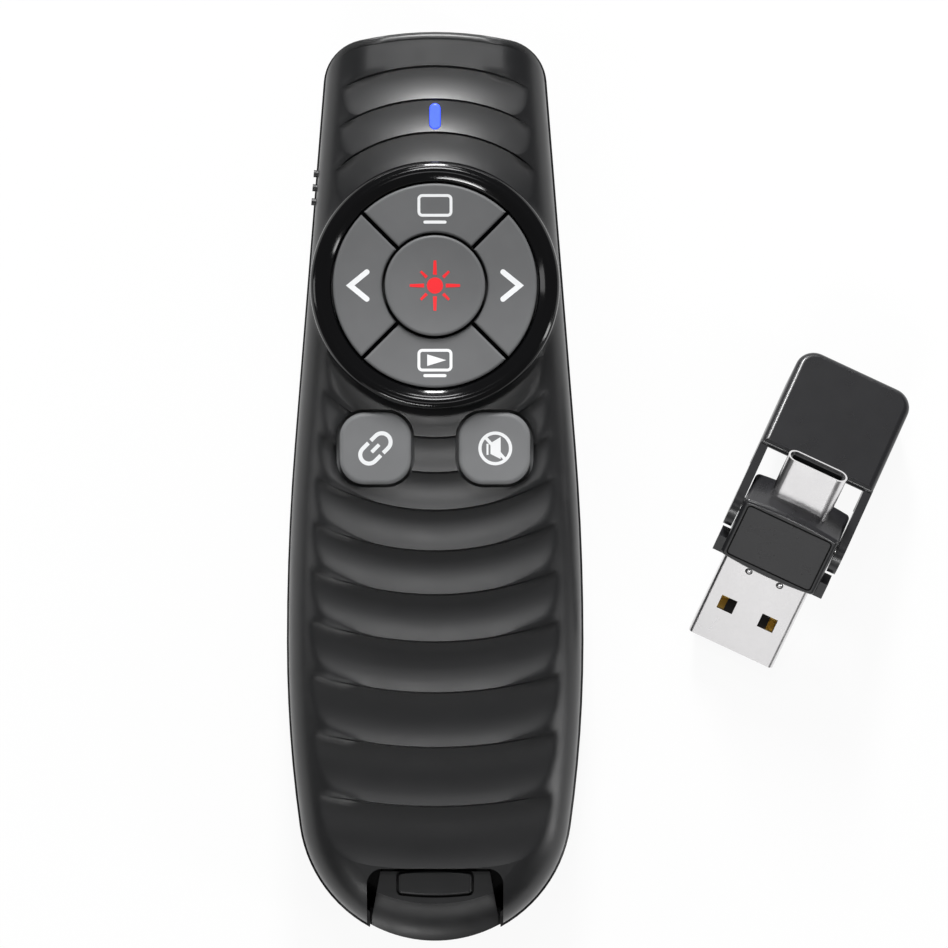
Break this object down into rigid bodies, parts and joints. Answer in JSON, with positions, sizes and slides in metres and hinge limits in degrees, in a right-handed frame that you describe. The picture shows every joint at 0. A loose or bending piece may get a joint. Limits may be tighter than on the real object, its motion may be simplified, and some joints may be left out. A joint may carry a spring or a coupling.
{
  "type": "wireless presentation clicker",
  "caption": "Hand-held slide clicker: ribbed casing, gloss dial ring with quadrant and centre keys, round-cornered keys, flank slider, tail cap, and a USB receiver with a swinging hood.",
  "frame": {"origin": "on the flat underside, halfway along the body and on its plane of symmetry", "axes": "+Z out of the key face, +Y towards the laser end, +X to the right seen from the key face"},
  "size_m": [0.0811, 0.1185, 0.0254],
  "materials": {
    "casing_black": "fine matte moulded texture",
    "ring_gloss": "polished black",
    "key_grey": "satin grey",
    "inner_plastic": "as moulded",
    "board_green": "solder mask",
    "switch_body": "moulded",
    "chip_black": "epoxy",
    "led_body": "clear epoxy",
    "indicator_blue": "lit translucent",
    "brass_barrel": "turned",
    "diode_can": "drawn",
    "optic_glass": "polished",
    "nose_glass": "tinted",
    "slider_black": "matte",
    "cell_jacket": "plain printed jacket",
    "contact_nickel": "nickel plated",
    "door_black": "fine matte moulded texture",
    "screw_steel": "blackened",
    "cap_black": "satin",
    "receiver_black": "satin with fine grain",
    "plug_steel": "bright plated",
    "tongue_black": "moulded",
    "contact_gold": "gold plated",
    "pin_steel": "turned",
    "hood_black": "semi gloss"
  },
  "bodies": {
    "casing": {"battery_1": "cell_jacket", "battery_2": "cell_jacket", "bottom_shell": "casing_black", "casing_screws": "screw_steel", "contact_plates": "contact_nickel", "contact_springs": "contact_nickel", "controller_chip": "chip_black", "indicator_led": "led_body", "indicator_lens": "indicator_blue", "key_frame": "inner_plastic", "key_switches": "switch_body", "laser_barrel": "brass_barrel", "laser_clamp": "inner_plastic", "laser_diode": "diode_can", "laser_lens": "optic_glass", "main_board": "board_green", "nose_window": "nose_glass", "power_switch": "switch_body", "radio_chip": "chip_black", "receiver_dock": "inner_plastic", "ring_bezel": "ring_gloss", "top_shell": "casing_black"},
    "key_up": {"key_up": "key_grey"},
    "key_down": {"key_down": "key_grey"},
    "key_left": {"key_left": "key_grey"},
    "key_right": {"key_right": "key_grey"},
    "laser_key": {"laser_key": "key_grey"},
    "link_key": {"link_key": "key_grey"},
    "mute_key": {"mute_key": "key_grey"},
    "power_slider": {"power_slider": "slider_black"},
    "battery_door": {"battery_door": "door_black"},
    "tail_cap": {"tail_cap": "cap_black"},
    "latch_pad": {"latch_pad": "cap_black"},
    "receiver": {"receiver_core": "receiver_black", "usb_a_shell": "plug_steel", "usb_a_tongue": "tongue_black", "usb_a_contacts": "contact_gold", "usb_c_shell": "plug_steel", "usb_c_liner": "tongue_black", "receiver_board": "board_green", "receiver_chip": "chip_black", "hood_pins": "pin_steel"},
    "receiver_hood": {"receiver_hood": "hood_black"}
  },
  "joints": [
    {"name": "key_up_press", "type": "slide", "parent": "casing", "child": "key_up", "axis": [0, 0, -1], "range_m": [0, 0.0005], "stiffness_N_per_m": 700, "springref_m": -0.0004},
    {"name": "key_down_press", "type": "slide", "parent": "casing", "child": "key_down", "axis": [0, 0, -1], "range_m": [0, 0.0005], "stiffness_N_per_m": 700, "springref_m": -0.0004},
    {"name": "key_left_press", "type": "slide", "parent": "casing", "child": "key_left", "axis": [0, 0, -1], "range_m": [0, 0.0005], "stiffness_N_per_m": 700, "springref_m": -0.0004},
    {"name": "key_right_press", "type": "slide", "parent": "casing", "child": "key_right", "axis": [0, 0, -1], "range_m": [0, 0.0005], "stiffness_N_per_m": 700, "springref_m": -0.0004},
    {"name": "laser_key_press", "type": "slide", "parent": "casing", "child": "laser_key", "axis": [0, 0, -1], "range_m": [0, 0.0005], "stiffness_N_per_m": 700, "springref_m": -0.0004},
    {"name": "link_key_press", "type": "slide", "parent": "casing", "child": "link_key", "axis": [0, 0, -1], "range_m": [0, 0.0005], "stiffness_N_per_m": 700, "springref_m": -0.0004},
    {"name": "mute_key_press", "type": "slide", "parent": "casing", "child": "mute_key", "axis": [0, 0, -1], "range_m": [0, 0.0005], "stiffness_N_per_m": 700, "springref_m": -0.0004},
    {"name": "power_slide", "type": "slide", "parent": "casing", "child": "power_slider", "axis": [0.0799, 0.9968, 0], "range_m": [0, 0.0024]},
    {"name": "battery_door_swing", "type": "hinge", "parent": "casing", "child": "battery_door", "pos_m": [0, 0.03505, 0.0009], "axis": [1, 0, 0], "range_deg": [0, 75]},
    {"name": "tail_cap_slide", "type": "slide", "parent": "casing", "child": "tail_cap", "axis": [0, -1, 0], "range_m": [0, 0.02]},
    {"name": "latch_press", "type": "slide", "parent": "tail_cap", "child": "latch_pad", "axis": [0, 0, -1], "range_m": [0, 0.0005], "stiffness_N_per_m": 700, "springref_m": -0.0004},
    {"name": "receiver_lift", "type": "slide", "parent": "casing", "child": "receiver", "axis": [0, 0, 1], "range_m": [0, 0.06]},
    {"name": "hood_swing", "type": "hinge", "parent": "receiver", "child": "receiver_hood", "pos_m": [0.046, -0.005, 0.0133], "axis": [-0.9063, 0.4226, 0], "range_deg": [-25, 120]}
  ]
}
